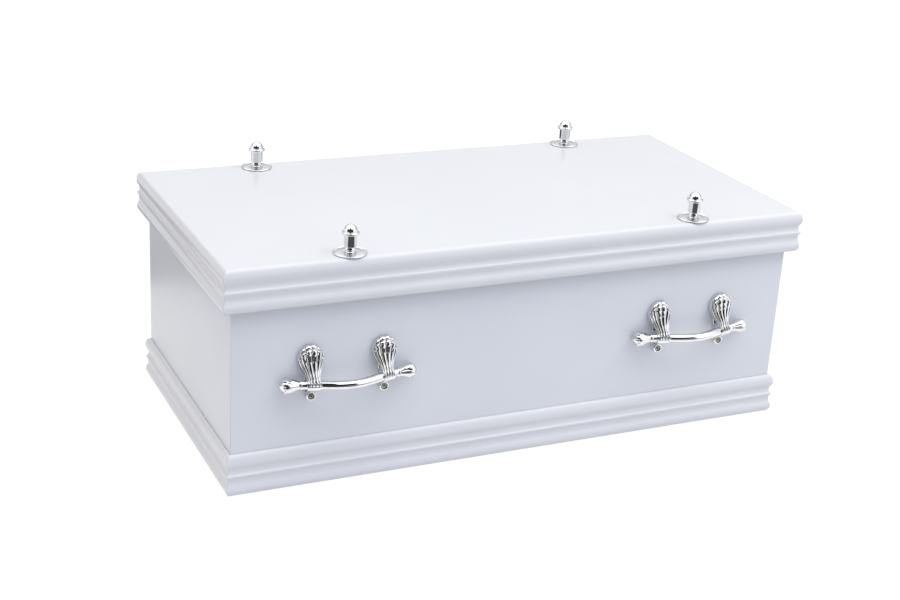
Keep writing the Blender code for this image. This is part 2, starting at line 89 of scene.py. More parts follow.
# ---- materials ---------------------------------------------------------------------------------
class Nodes:
    def __init__(self, tree):
        self.tree = tree

    def add(self, kind, **values):
        node = self.tree.nodes.new(kind)
        for key, value in values.items():
            setattr(node, key, value)
        return node

    def link(self, out, into):
        self.tree.links.new(out, into)

    def math(self, operation, a, b=None, clamp=False):
        node = self.add("ShaderNodeMath", operation=operation, use_clamp=clamp)
        for slot, value in ((0, a), (1, b)):
            if value is None:
                continue
            if isinstance(value, (int, float)):
                node.inputs[slot].default_value = value
            else:
                self.link(value, node.inputs[slot])
        return node.outputs[0]

    def ramp(self, value, low, high, to_low=0.0, to_high=1.0, kind="SMOOTHSTEP"):
        node = self.add("ShaderNodeMapRange", interpolation_type=kind)
        self.link(value, node.inputs["Value"])
        for name, number in (("From Min", low), ("From Max", high), ("To Min", to_low), ("To Max", to_high)):
            node.inputs[name].default_value = number
        return node.outputs["Result"]

    def noise(self, vector, scale, detail=2.0, roughness=0.5):
        node = self.add("ShaderNodeTexNoise")
        node.inputs["Scale"].default_value = scale
        node.inputs["Detail"].default_value = detail
        node.inputs["Roughness"].default_value = roughness
        self.link(vector, node.inputs["Vector"])
        return node.outputs["Fac"]

    def mix(self, factor, a, b):
        node = self.add("ShaderNodeMix", data_type="RGBA")
        sockets = [s for s in node.inputs if s.enabled]
        by_name = {s.name: s for s in sockets}
        self.link(factor, by_name["Factor"])
        for name, value in (("A", a), ("B", b)):
            if isinstance(value, tuple):
                by_name[name].default_value = value
            else:
                self.link(value, by_name[name])
        return next(s for s in node.outputs if s.enabled)


def shader_of(name):
    mat = bpy.data.materials.new(name)
    mat.use_nodes = True
    return mat, Nodes(mat.node_tree), mat.node_tree.nodes["Principled BSDF"]


def paint(name, colour, shade, gloss, peel):
    """Brushed-out white enamel: a slow drift in tone, a faint orange peel and an uneven gloss."""
    mat, n, shader = shader_of(name)
    where = n.add("ShaderNodeTexCoord").outputs["Object"]
    drift = n.noise(where, 5.0, 3.0, 0.55)
    speck = n.noise(where, 240.0, 2.0, 0.6)
    tone = n.math("ADD", n.math("MULTIPLY", drift, 0.9), n.math("MULTIPLY", speck, 0.1))
    tone = n.ramp(tone, 0.32, 0.68)
    n.link(n.mix(tone, shade, colour), shader.inputs["Base Color"])
    uneven = n.noise(where, 28.0, 3.0, 0.6)
    n.link(n.ramp(uneven, 0.3, 0.7, gloss - 0.005, gloss + 0.007), shader.inputs["Roughness"])
    shader.inputs["Specular IOR Level"].default_value = 0.5
    skin = n.noise(where, 420.0, 2.0, 0.5)
    wave = n.noise(where, 46.0, 2.0, 0.5)
    height = n.math("ADD", n.math("MULTIPLY", skin, 0.35), wave)
    bump = n.add("ShaderNodeBump")
    bump.inputs["Strength"].default_value = peel
    bump.inputs["Distance"].default_value = 0.0006
    n.link(height, bump.inputs["Height"])
    n.link(bump.outputs["Normal"], shader.inputs["Normal"])
    mat.diffuse_color = colour
    return mat


def plated(name, colour, shade, low, high, ripple, ripple_scale):
    """Bright plating: clean on the whole, with a little haze and the ripple of the casting under it."""
    mat, n, shader = shader_of(name)
    where = n.add("ShaderNodeTexCoord").outputs["Object"]
    haze = n.noise(where, 90.0, 3.0, 0.6)
    n.link(n.mix(n.ramp(haze, 0.35, 0.7), colour, shade), shader.inputs["Base Color"])
    rub = n.noise(where, 260.0, 2.0, 0.6)
    n.link(n.ramp(rub, 0.35, 0.72, low, high), shader.inputs["Roughness"])
    shader.inputs["Metallic"].default_value = 1.0
    height = n.noise(where, ripple_scale, 2.0, 0.5)
    bump = n.add("ShaderNodeBump")
    bump.inputs["Strength"].default_value = ripple
    bump.inputs["Distance"].default_value = 0.0003
    n.link(height, bump.inputs["Height"])
    n.link(bump.outputs["Normal"], shader.inputs["Normal"])
    mat.diffuse_color = colour
    return mat


PAINT_BOX = paint("painted_box", (0.815, 0.82, 0.83, 1), (0.79, 0.795, 0.81, 1), 0.33, 0.010)
PAINT_LID = paint("painted_lid", (0.825, 0.83, 0.84, 1), (0.805, 0.81, 0.82, 1), 0.28, 0.001)
PAINT_STRIP = paint("painted_moulding", (0.83, 0.816, 0.816, 1), (0.81, 0.796, 0.797, 1), 0.30, 0.006)
PAINT_INSIDE = paint("painted_inside", (0.78, 0.785, 0.79, 1), (0.74, 0.745, 0.755, 1), 0.42, 0.08)
CHROME_LID = plated("chrome_lid_fittings", (0.72, 0.725, 0.74, 1), (0.66, 0.665, 0.68, 1), 0.035, 0.085, 0.05, 150.0)
CHROME_HANDLE = plated("chrome_handles", (0.73, 0.735, 0.75, 1), (0.67, 0.675, 0.69, 1), 0.04, 0.10, 0.09, 170.0)
# yellowed zinc plate is the screws' own colour; its darkness is partly painted shade of their sunk seats
STEEL_AND_SHADE = plated("steel_screws", (0.36, 0.35, 0.30, 1), (0.22, 0.215, 0.185, 1), 0.22, 0.36, 0.10, 600.0)


def turned_plate():
    """The lid screws' plates keep the circles of the lathe under their plating, so their shine fans out."""
    mat = plated("chrome_turned_plates", (0.72, 0.725, 0.74, 1), (0.66, 0.665, 0.68, 1), 0.19, 0.26, 0.02, 200.0)
    n = Nodes(mat.node_tree)
    shader = mat.node_tree.nodes["Principled BSDF"]
    shader.inputs["Anisotropic"].default_value = 0.85
    round_axis = n.add("ShaderNodeTangent", direction_type="RADIAL", axis="Z")
    n.link(round_axis.outputs["Tangent"], shader.inputs["Tangent"])
    return mat


CHROME_PLATE = turned_plate()

SLOTS = {
    "painted_box": PAINT_BOX,
    "painted_lid": PAINT_LID,
    "painted_moulding": PAINT_STRIP,
    "chrome_lid_fittings": CHROME_LID,
    "chrome_handles": CHROME_HANDLE,
    "steel_screws": STEEL_AND_SHADE,
}


# ---- mesh helpers ------------------------------------------------------------------------------
def make_mesh(name, verts, faces):
    bm = bmesh.new()
    points = [bm.verts.new(v) for v in verts]
    for face in faces:
        bm.faces.new([points[i] for i in face])
    bmesh.ops.recalc_face_normals(bm, faces=bm.faces)
    mesh = bpy.data.meshes.new(name)
    bm.to_mesh(mesh)
    bm.free()
    return mesh


def soften(mesh, angle=34.0):
    """Round faces shade smooth, square ones stay flat, and real edges stay crisp."""
    smooth = []
    for poly in mesh.polygons:
        n = poly.normal
        smooth.append(max(abs(n.x), abs(n.y), abs(n.z)) < 0.99995 or poly.area < 1e-7)
    mesh.polygons.foreach_set("use_smooth", smooth)
    mesh.set_sharp_from_angle(angle=math.radians(angle))


def soften_all(mesh, angle=34.0):
    mesh.polygons.foreach_set("use_smooth", [True] * len(mesh.polygons))
    mesh.set_sharp_from_angle(angle=math.radians(angle))


def place(mesh, node, slot, material=None):
    """One finished piece that stands for one node of the frame."""
    obj = bpy.data.objects.new(node + "_finish", mesh)
    bpy.context.scene.collection.objects.link(obj)
    mesh.materials.clear()
    mesh.materials.append(material or SLOTS[slot])
    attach(obj, "root")
    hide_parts(node)
    return obj


def tube_faces(rings, around, caps=True):
    faces = []
    for i in range(rings - 1):
        for j in range(around):
            k = (j + 1) % around
            faces.append((i * around + j, i * around + k, (i + 1) * around + k, (i + 1) * around + j))
    if caps:
        faces.append(tuple(range(around)))
        last = (rings - 1) * around
        faces.append(tuple(range(last, last + around)))
    return faces


def ring(centre, side, up, radius, around, turn=0.0):
    return [
        centre
        + side * (radius * math.cos(turn + 2 * math.pi * i / around))
        + up * (radius * math.sin(turn + 2 * math.pi * i / around))
        for i in range(around)
    ]


def rod(start, end, radius, around):
    axis = (end - start).normalized()
    side = axis.orthogonal().normalized()
    up = axis.cross(side)
    return ring(start, side, up, radius, around) + ring(end, side, up, radius, around), tube_faces(2, around)


def lathe(profile, around, centre, axis=Vector((0, 0, 1))):
    side = Vector((1, 0, 0)) if abs(axis.x) < 0.5 else Vector((0, 1, 0))
    up = axis.cross(side)
    verts, rows = [], []
    for radius, height in profile:
        rows.append(len(verts))
        if radius < 1e-7:
            verts.append(centre + axis * height)
        else:
            verts += ring(centre + axis * height, side, up, radius, around)
    faces = []
    count = len(profile)
    solid = profile[0][0] < 1e-7
    for i in range(count - 1 if solid else count):
        a, b = i, (i + 1) % count
        for j in range(around):
            k = (j + 1) % around
            if profile[a][0] < 1e-7:
                faces.append((rows[a], rows[b] + k, rows[b] + j))
            elif profile[b][0] < 1e-7:
                faces.append((rows[a] + j, rows[a] + k, rows[b]))
            else:
                faces.append((rows[a] + j, rows[a] + k, rows[b] + k, rows[b] + j))
    return verts, faces


def arc(centre, radii, start, end, steps):
    found = []
    for i in range(steps + 1):
        angle = math.radians(start + (end - start) * i / steps)
        found.append((centre[0] + radii[0] * math.cos(angle), centre[1] + radii[1] * math.sin(angle)))
    return found


def merge(shapes):
    verts, faces = [], []
    for shape_verts, shape_faces in shapes:
        base = len(verts)
        verts += shape_verts
        faces += [tuple(i + base for i in face) for face in shape_faces]
    return verts, faces


def volume(mesh):
    bm = bmesh.new()
    bm.from_mesh(mesh)
    found = bm.calc_volume(signed=True)
    bm.free()
    return found


def combine(mesh, operation, verts, faces):
    """The mesh joined with, or cut by, a closed shape. Where the result is missing material, the
    step is made again with the slower setting for shapes that cross themselves."""
    body = bpy.data.objects.new("work_body", mesh)
    other = bpy.data.objects.new("work_tool", make_mesh("work_tool", verts, faces))
    for obj in (body, other):
        bpy.context.scene.collection.objects.link(obj)
    modifier = body.modifiers.new("work", "BOOLEAN")
    modifier.operation = operation
    modifier.solver = "EXACT"
    modifier.object = other
    least = volume(mesh) * (0.999 if operation == "UNION" else 0.6)
    for careful in (False, True):
        modifier.use_self = careful
        graph = bpy.context.evaluated_depsgraph_get()
        made = bpy.data.meshes.new_from_object(body.evaluated_get(graph))
        if volume(made) > least:
            break
    tool_mesh = other.data
    for obj in (body, other):
        bpy.data.objects.remove(obj, do_unlink=True)
    bpy.data.meshes.remove(mesh)
    bpy.data.meshes.remove(tool_mesh)
    return made


def drop_crumbs(mesh):
    """Only the largest connected body is kept; a cut can leave a sliver beside it."""
    bm = bmesh.new()
    bm.from_mesh(mesh)
    seen, bodies = set(), []
    for vert in bm.verts:
        if vert in seen:
            continue
        seen.add(vert)
        body, waiting = [], [vert]
        while waiting:
            here = waiting.pop()
            body.append(here)
            for edge in here.link_edges:
                there = edge.other_vert(here)
                if there not in seen:
                    seen.add(there)
                    waiting.append(there)
        bodies.append(body)
    bodies.sort(key=len)
    for body in bodies[:-1]:
        bmesh.ops.delete(bm, geom=body, context="VERTS")
    bm.to_mesh(mesh)
    bm.free()


def inset(loop, amount):
    """A closed outline drawn in by an amount."""
    if amount == 0:
        return list(loop)
    count = len(loop)
    area = sum(loop[i][0] * loop[(i + 1) % count][1] - loop[(i + 1) % count][0] * loop[i][1] for i in range(count))
    turn = 1.0 if area > 0 else -1.0
    found = []
    for i in range(count):
        before, here, after = (Vector(loop[(i + k) % count]) for k in (-1, 0, 1))
        one, two = (here - before).normalized(), (after - here).normalized()
        n1, n2 = Vector((-one.y, one.x)) * turn, Vector((-two.y, two.x)) * turn
        moved = here + (n1 + n2) * (amount / (1.0 + n1.dot(n2)))
        found.append((moved.x, moved.y))
    return found


def board(outline, low, high, arris, steps=4):
    """A flat board with its long edges eased by a small round."""
    levels = []
    for i in range(steps + 1):
        a = math.pi / 2 * i / steps
        levels.append((low + arris * (1 - math.cos(a)), arris * (1 - math.sin(a))))
    levels += [(low + high - z, d) for z, d in reversed(levels)]
    verts = []
    for z, d in levels:
        verts += [Vector((x, y, z)) for x, y in inset(outline, d)]
    return verts, tube_faces(len(levels), len(outline))


# ---- box and lid -------------------------------------------------------------------------------
def corner_arc(cx, cy, radius, start, end, steps=6):
    return arc((cx, cy), (radius, radius), start, end, steps)


def wall(side):
    """One mitred wall, its half of each outside corner eased."""
    hl, hw, t, r, m = LENGTH / 2, WIDTH / 2, WALL_T, 0.0012, WALL_MITRE
    lean = math.degrees(math.asin(m / (math.sqrt(2) * r)))
    if side in ("front", "back"):
        s = -1 if side == "front" else 1
        outline = corner_arc(-hl + r, -hw + r, r, 225 + lean, 270)
        outline += corner_arc(hl - r, -hw + r, r, 270, 315 - lean)
        outline += [(hl - t - m, -hw + t), (-hl + t + m, -hw + t)]
        outline = [(x, -s * y) for x, y in outline]
    else:
        s = -1 if side == "left" else 1
        outline = corner_arc(-hl + r, hw - r, r, 135 + lean, 180)
        outline += corner_arc(-hl + r, -hw + r, r, 180, 225 - lean)
        outline += [(-hl + t, -hw + t + m), (-hl + t, hw - t - m)]
        outline = [(-s * x, y) for x, y in outline]
    return board(outline, 0.0, LID_UNDER - GAP, 0.0006)


def drilled_wall(side):
    mesh = make_mesh(side, *wall(side))
    s = -1 if side == "front" else 1
    holes = []
    for sx in (-1, 1):
        bottom = Vector((sx * SCREW_X, s * SCREW_Y, LID_UNDER - SHANK_LEN - 0.002))
        holes.append(rod(bottom, bottom + Vector((0, 0, SHANK_LEN + 0.006)), SHANK_R + 0.0004, 24))
        for lug in (-1, 1):
            inner = Vector((sx * HANDLE_X + lug * LUG_X, s * (WIDTH / 2 - LUG_SCREW_IN - 0.001), BOSS_Z))
            holes.append(rod(inner, inner + Vector((0, s * (LUG_SCREW_IN + 0.004), 0)), LUG_SCREW_R + 0.0004, 24))
    return combine(mesh, "DIFFERENCE", *merge(holes))


for side in ("front", "back"):
    mesh = drilled_wall(side)
    soften(mesh)
    place(mesh, side + "_panel", "painted_box")
for side in ("left", "right"):
    mesh = make_mesh(side, *wall(side))
    soften(mesh)
    place(mesh, side + "_end_panel", "painted_box")

hl, hw = LENGTH / 2 - WALL_T - GAP, WIDTH / 2 - WALL_T - GAP
mesh = make_mesh("floor", *board([(-hl, -hw), (hl, -hw), (hl, hw), (-hl, hw)], 0.0, FLOOR_T, 0.0006))
soften(mesh)
place(mesh, "floor_board", "painted_box", PAINT_INSIDE)

# the paint bridges the joint between the lid board and its strips, so the board's top reaches them
hl, hw = LENGTH / 2 + LID_REACH + GAP * 0.95, WIDTH / 2 + LID_REACH + GAP * 0.95
verts = []
levels = [(LID_UNDER, 0.0004), (LID_UNDER + 0.0004, 0.0), (TOTAL_HEIGHT, 0.0)]
for z, d in levels:
    verts += [Vector((x, y, z)) for x, y in ((-hl + d, -hw + d), (hl - d, -hw + d), (hl - d, hw - d), (-hl + d, hw - d))]
mesh = make_mesh("lid", verts, tube_faces(len(levels), 4))
holes = []
for sx in (-1, 1):
    for sy in (-1, 1):
        low = Vector((sx * SCREW_X, sy * SCREW_Y, LID_UNDER - 0.004))
        holes.append(rod(low, low + Vector((0, 0, LID_T + 0.008)), SHANK_R + 0.0006, 24))
mesh = combine(mesh, "DIFFERENCE", *merge(holes))
soften(mesh)
place(mesh, "lid_board", "painted_lid")


# ---- the reeded strip --------------------------------------------------------------------------
def moulding_profile(fine):
    t, h = MOULD_T, MOULD_H
    lip_w, lip_v = 0.0055, 0.0246
    crown_v, crown_side = h - 0.010, 0.0032
    points = arc((0.0, crown_v), (t, h - crown_v), 90, 0, 4 * fine)
    points += arc((crown_side, crown_v), (t - crown_side, 0.0065), 0, -60, fine + 2)[1:]
    points += arc((0.0063, 0.0322), (0.0034, 0.0060), 120, 256, 4 * fine)
    points += [(lip_w - 0.00012, lip_v + 0.0003), (lip_w, lip_v), (lip_w - 0.00006, lip_v - 0.0003)]
    points += arc((0.0066, 0.0180), (0.0032, 0.0070), 110, 238, 3 * fine)[1:]
    points += arc((0.0026, 0.00725), (t - 0.0026, 0.0065), 47, -75, 4 * fine)
    points += [(0.0036, 0.0003), (0.0031, 0.0), (0.0, 0.0)]
    return points


def moulding(side, half_len, half_wid, foot_z):
    profile = moulding_profile(5)
    verts = []
    for end in (-1, 1):
        for projection, height in profile:
            across = projection + GAP
            if side in ("front", "back"):
                sign = -1 if side == "front" else 1
                verts.append(Vector((end * (half_len + across - STRIP_MITRE), sign * (half_wid + across), foot_z + height)))
            else:
                sign = -1 if side == "left" else 1
                verts.append(Vector((sign * (half_len + across), end * (half_wid + across - STRIP_MITRE), foot_z + height)))
    return verts, tube_faces(2, len(profile))


for side in ("front", "back", "left", "right"):
    mesh = make_mesh("foot_" + side, *moulding(side, LENGTH / 2, WIDTH / 2, 0.0))
    soften(mesh, 30.0)
    place(mesh, "base_moulding_" + side, "painted_moulding")
    mesh = make_mesh(
        "cap_" + side, *moulding(side, LENGTH / 2 + LID_REACH, WIDTH / 2 + LID_REACH, TOTAL_HEIGHT - MOULD_H)
    )
    soften(mesh, 30.0)
    place(mesh, "lid_moulding_" + side, "painted_moulding")


# ---- lid screws --------------------------------------------------------------------------------
def plate_profile():
    """Rolled rim, a fine groove inside it, a shallow dome and an eased hole."""
    r, hole = PLATE_R, PLATE_HOLE_R
    points = [(hole, 0.0), (r - 0.0005, 0.0)]
    points += arc((r - 0.00095, 0.00085), (0.00095, 0.00085), -60, 150, 16)
    points += arc((r - 0.0023, 0.00122), (0.00055, 0.00012), 20, -160, 6)
    inner, outer = hole + 0.0009, r - 0.0030
    for i in range(17):
        t = i / 16
        radius = outer + (inner - outer) * t
        height = 0.00122 + 0.00083 * math.sin(min(1.0, t / 0.62) * math.pi / 2) ** 1.15
        if t > 0.62:
            height -= 0.00035 * ((t - 0.62) / 0.38) ** 1.6
        points.append((radius, height))
    points += [(hole + 0.00035, PLATE_HUB_Z + 0.00002), (hole + 0.0001, PLATE_HUB_Z - 0.00012), (hole, PLATE_HUB_Z - 0.0003)]
    return points


def knob_profile():
    tip = -(LID_T + SHANK_LEN)
    points = [(0.0, tip), (SHANK_R * 0.55, tip + 0.0004), (SHANK_R, tip + 0.0020), (SHANK_R, PLATE_HUB_Z + GAP)]
    low = math.degrees(math.asin((PLATE_HUB_Z + GAP - KNOB_BALL_Z) / KNOB_BALL_R))
    points += arc((0.0, KNOB_BALL_Z), (KNOB_BALL_R, KNOB_BALL_R), low, 32, 18)
    points += arc((KNOB_STEM_R - 0.0007, KNOB_STEM_Z + 0.0009), (0.0007, 0.0009), -70, 0, 6)
    points += arc((KNOB_STEM_R + 0.0005, KNOB_COLLAR_Z - 0.0005), (0.0005, 0.0005), 180, 90, 5)
    half = KNOB_COLLAR_T / 2
    points += arc((KNOB_COLLAR_R - 0.0011, KNOB_COLLAR_Z + half), (0.0011, half), -86, 86, 16)
    top = KNOB_COLLAR_Z + KNOB_COLLAR_T
    points += arc((KNOB_DOME_R + 0.0004, top + 0.0004), (0.0004, 0.0004), 270, 180, 5)
    points += arc((0.0, KNOB_H - KNOB_DOME_R), (KNOB_DOME_R, KNOB_DOME_R), 0, 90, 24)
    points[-1] = (0.0, KNOB_H)
    return points


for side, sy in (("front", -1), ("back", 1)):
    for end, sx in (("left", -1), ("right", 1)):
        top = Vector((sx * SCREW_X, sy * SCREW_Y, TOTAL_HEIGHT + GAP))
        mesh = make_mesh("plate", *lathe(plate_profile(), 112, top))
        soften_all(mesh, 50.0)
        place(mesh, f"lid_screw_plate_{side}_{end}", "chrome_lid_fittings", CHROME_PLATE)
        mesh = make_mesh("knob", *lathe(knob_profile(), 96, top))
        soften_all(mesh, 40.0)
        place(mesh, f"lid_screw_{side}_{end}", "chrome_lid_fittings")


# ---- handles -----------------------------------------------------------------------------------
def bar_out(x):
    return BAR_MID_OUT - BAR_BOW * (1 - math.exp(-((x / BAR_BOW_X) ** 2)))


def bar_slope(x):
    return -BAR_BOW * (2 * x / BAR_BOW_X**2) * math.exp(-((x / BAR_BOW_X) ** 2))


def step(low, high, value):
    t = min(1.0, max(0.0, (value - low) / (high - low)))
    return t * t * (3 - 2 * t)


def bar_radius(a):
    """Plain bar, a small ring, a waist, and a bud that swells and closes to its tip."""
    if a < BUD_FROM - 0.0004:
        return BAR_R
    if a < BUD_FROM + 0.0022:
        t = (a - (BUD_FROM + 0.0009)) / 0.0013
        return BAR_R + 0.0006 * math.sqrt(max(0.0, 1 - t * t))
    t = (a - BUD_FROM) / (BUD_TIP - BUD_FROM)
    if t < 0.70:
        s = max(0.0, (t - 0.08) / 0.62)
        return 0.0050 + (BUD_R - 0.0050) * math.sin(s * math.pi / 2) ** 1.2
    s = (t - 0.70) / 0.30
    return max(0.0010, BUD_R * max(0.0, math.cos(s * math.pi / 2)) ** 0.8)


def bud_relief(a, angle):
    """How far the bud's surface stands back from its full radius: six pointed leaves with grooves
    between them, each with a shallow crease down its middle, and a second row behind the points."""
    start = BUD_FROM + 0.0024
    if a <= start:
        return 0.0
    s = (a - start) / (BUD_TIP - start)
    leaves = 6
    sector = 2 * math.pi / leaves

    def row(turn, shoulder, point, full):
        phi = abs((angle + turn + sector / 2) % sector - sector / 2) / (sector / 2)
        if s < shoulder:
            reach = full
        else:
            reach = full * max(0.0, 1 - ((s - shoulder) / (point - shoulder))) ** 0.8
        return step(0.0, 0.26, reach - phi), phi

    front, phi = row(0.0, 0.34, 0.80, 0.95)
    rear, _ = row(sector / 2, 0.56, 0.96, 0.92)
    fade = step(0.0, 0.06, s)
    crease = 0.10 * front * (1 - step(0.0, 0.16, phi))
    return fade * (1.0 - max(front, 0.52 * rear) + crease)


def bar_stations():
    half = []
    count = 40
    for i in range(count):
        half.append((BUD_FROM - 0.0006) * i / count)
    edge = BUD_FROM - 0.0006
    half += [edge + 0.0032 * i / 14 for i in range(14)]
    edge += 0.0032
    for i in range(47):
        half.append(edge + (BUD_TIP - edge) * math.sin(i / 46 * math.pi / 2) ** 0.9)
    return [-x for x in reversed(half[1:])] + half


def handle_point(x, out, z):
    """A point of the handle in the middle of the front wall."""
    return Vector((x, -(WIDTH / 2 + out), z))


def handle_bar():
    around = 84
    verts = []
    stations = bar_stations()
    for x in stations:
        slope = bar_slope(x)
        run = math.hypot(1.0, slope)
        nx, no = -slope / run, 1.0 / run
        r = bar_radius(abs(x))
        for i in range(around):
            angle = 2 * math.pi * i / around
            rr = r - min(0.0011, r * 0.12) * bud_relief(abs(x), angle)
            side, up = rr * math.cos(angle), rr * math.sin(angle)
            verts.append(handle_point(x + nx * side, bar_out(x) + no * side, BAR_Z + up))
    mesh = make_mesh("bar", verts, tube_faces(len(stations), around))
    soften_all(mesh, 46.0)
    return mesh


def swell(value, centre, half):
    """A rounded bump of height 1."""
    t = (value - centre) / half
    return max(0.0, 1 - t * t) ** 1.5


def shell_edge(v):
    return SHELL_EDGE_TOP + (SHELL_EDGE_FOOT - SHELL_EDGE_TOP) * (1 - v) ** 1.45


def shell_middle(v):
    belly = SHELL_BELLY * (1 - math.exp(-(1 - v) / 0.14))
    sweep = (SHELL_OUT_FOOT - SHELL_OUT_TOP - SHELL_BELLY) * 0.5 * (1 + math.cos(math.pi * min(1.0, v / 0.66)))
    return SHELL_OUT_TOP + belly + sweep


def shell_point(u, v, slant):
    """Front of the fluted shell: u from side to side, v from the knuckles up to the scalloped rim.
    From the rim inwards come a rolled scalloped bead, a fine sunk line, the ribs' rounded heads with
    a pit between each two, the ribs, and their knuckles on the collar."""
    a = u * math.pi / 2
    cosine = max(0.0, math.cos(a))
    spread = math.sin(max(0.0, v - SHELL_NECK) / (1 - SHELL_NECK) * math.pi / 2) ** 1.25
    half = SHELL_FOOT_HALF_W + (SHELL_HALF_W - SHELL_FOOT_HALF_W) * spread
    lobe = abs(math.sin(math.pi * SHELL_RIBS * (u + 1) / 2))
    x = half * math.sin(a)
    z = SHELL_FOOT_Z + (SHELL_WIDE_Z - SHELL_FOOT_Z) * v + (SHELL_TOP_Z - SHELL_WIDE_Z) * v**1.3 * cosine
    z += 0.0008 * lobe * cosine * step(0.78, 1.0, v)
    edge = shell_edge(v)
    out = edge + (shell_middle(v) - edge) * cosine**0.7
    # distance from the rim, 0 at the rim and 1 where the ribs are whole
    inward = min((1.0 - v) / 0.14, (1.0 - abs(u)) / 0.10 * 1.2)
    whole = step(0.62, 1.05, inward)
    rib = SHELL_RIB * (0.62 + 0.38 * v) * (lobe - 0.5) - 0.0008 * (1 - lobe) ** 4
    rib *= 1 - 0.45 * swell(v, 0.13, 0.13)
    out += rib * (0.22 + 0.78 * whole)
    out += 0.0012 * swell(v, 0.10, 0.11) * lobe**0.7
    out -= 0.0019 * (1 - lobe) ** 1.1 * swell(v, 0.10, 0.06)
    out += 0.00075 * swell(inward, 0.26, 0.30)
    out -= 0.00075 * swell(inward, 0.66, 0.16)
    out -= 0.0014 * (1 - lobe) ** 1.4 * swell(v, 0.845, 0.045) * step(0.0, 0.2, 1 - abs(u))
    out -= 0.0011 * (1 - math.sqrt(max(0.0, 1 - (1 - min(1.0, v / 0.06)) ** 2)))
    return x, out + slant * x * (1 - v) ** 1.5, z


def shell(lx, slant):
    cols = SHELL_RIBS * 16
    levels = [0.12 * i / 9 for i in range(9)] + [0.12 + 0.66 * i / 20 for i in range(20)] + [0.78 + 0.22 * i / 28 for i in range(29)]
    rows = len(levels) - 1
    verts = []
    for v in levels:
        for j in range(cols + 1):
            x, out, z = shell_point(-1 + 2 * j / cols, v, slant)
            verts.append(handle_point(lx + x, out, z))
    faces = []
    for i in range(rows):
        for j in range(cols):
            a = i * (cols + 1) + j
            faces.append((a, a + 1, a + cols + 2, a + cols + 1))
    boundary = [(0, j) for j in range(cols + 1)]
    boundary += [(i, cols) for i in range(1, rows + 1)]
    boundary += [(rows, j) for j in range(cols - 1, -1, -1)]
    boundary += [(i, 0) for i in range(rows - 1, 0, -1)]
    count = len(boundary)
    last = {place_: place_[0] * (cols + 1) + place_[1] for place_ in boundary}
    middle_z = 0.162
    for grow, share in ((0.006, 0.06), (0.011, 0.17), (0.013, 0.34), (0.013, 0.72), (0.007, 0.93), (0.0, 1.0)):
        now = {}
        for i, j in boundary:
            x, out, z = shell_point(-1 + 2 * j / cols, levels[i], slant)
            back = max(0.0010, shell_edge(levels[i]) - SHELL_T)
            held = step(0.0, 0.2, levels[i])
            wide = 1 + grow * held
            now[(i, j)] = len(verts)
            verts.append(handle_point(lx + x * wide, out + (back - out) * share, middle_z + (z - middle_z) * wide))
        for k in range(count):
            one, two = boundary[k], boundary[(k + 1) % count]
            faces.append((last[one], last[two], now[two], now[one]))
        last = now
    faces.append(tuple(last[(0, j)] for j in range(cols + 1)) + (last[(1, cols)], last[(1, 0)]))
    for i in range(1, rows):
        faces.append((last[(i, 0)], last[(i, cols)], last[(i + 1, cols)], last[(i + 1, 0)]))
    faces.append(tuple(last[(rows, j)] for j in range(cols + 1)))
    return verts, faces


def backplate_loop(inset_by):
    """The plate on the wall behind the shell, with its waist and the ear under the bar."""
    loop = []
    rise = BACKPLATE_TOP_Z - BACKPLATE_WIDE_Z
    for i in range(49):
        a = math.pi * (i / 48 - 0.5)
        loop.append(((BACKPLATE_HALF_W - inset_by) * math.sin(a), BACKPLATE_WIDE_Z + (rise - inset_by) * math.cos(a)))
    waist_z = BAR_Z - 0.009
    right = []
    for i in range(1, 23):
        t = i / 22
        half = BACKPLATE_WAIST + (BACKPLATE_HALF_W - BACKPLATE_WAIST) * (1 - t) ** 2 - inset_by
        right.append((half, BACKPLATE_WIDE_Z + (waist_z - BACKPLATE_WIDE_Z) * t))
    r = BOSS_R - inset_by
    foot = [(r * math.cos(math.radians(-a)), BOSS_Z + r * math.sin(math.radians(-a))) for a in range(0, 181, 9)]
    return loop + right + foot + [(-x, z) for x, z in reversed(right)]


def backplate(lx):
    """Its edges are eased."""
    steps = [(0.0003, GAP), (0.0, GAP + 0.0003), (0.0, 0.0017), (0.00012, 0.0022), (0.0004, 0.0025), (0.0008, 0.0026)]
    verts = []
    count = 0
    for inset_by, out in steps:
        loop = backplate_loop(inset_by)
        count = len(loop)
        verts += [handle_point(lx + x, out, z) for x, z in loop]
    return verts, tube_faces(len(steps), count)


def collar(at, slant):
    """Round body across the foot of a lug, its ends eased."""
    lean = Vector((1.0, slant, 0.0)).normalized()
    around, ease = 48, 0.0013
    stations = [(-COLLAR_HALF + ease * (1 - math.cos(math.pi / 2 * i / 6)), ease * (1 - math.sin(math.pi / 2 * i / 6))) for i in range(7)]
    stations += [(-s, d) for s, d in reversed(stations)]
    verts = []
    for s, drop in stations:
        for i in range(around):
            angle = 2 * math.pi * (i + 0.5) / around
            side, up = (COLLAR_R - drop) * math.cos(angle), (COLLAR_R - drop) * math.sin(angle)
            x = at + s * lean.x - lean.y * side
            out = bar_out(at) + s * lean.y + lean.x * side
            verts.append(handle_point(x, out, BAR_Z + up))
    return verts, tube_faces(len(stations), around)


def along_bar(at, half, radius, around, steps):
    verts = []
    for k in range(steps + 1):
        x = at - half + 2 * half * k / steps
        slope = bar_slope(x)
        run = math.hypot(1.0, slope)
        nx, no = -slope / run, 1.0 / run
        for i in range(around):
            angle = 2 * math.pi * (i + 0.5) / around
            side, up = radius * math.cos(angle), radius * math.sin(angle)
            verts.append(handle_point(x + nx * side, bar_out(x) + no * side, BAR_Z + up))
    return verts, tube_faces(steps + 1, around)


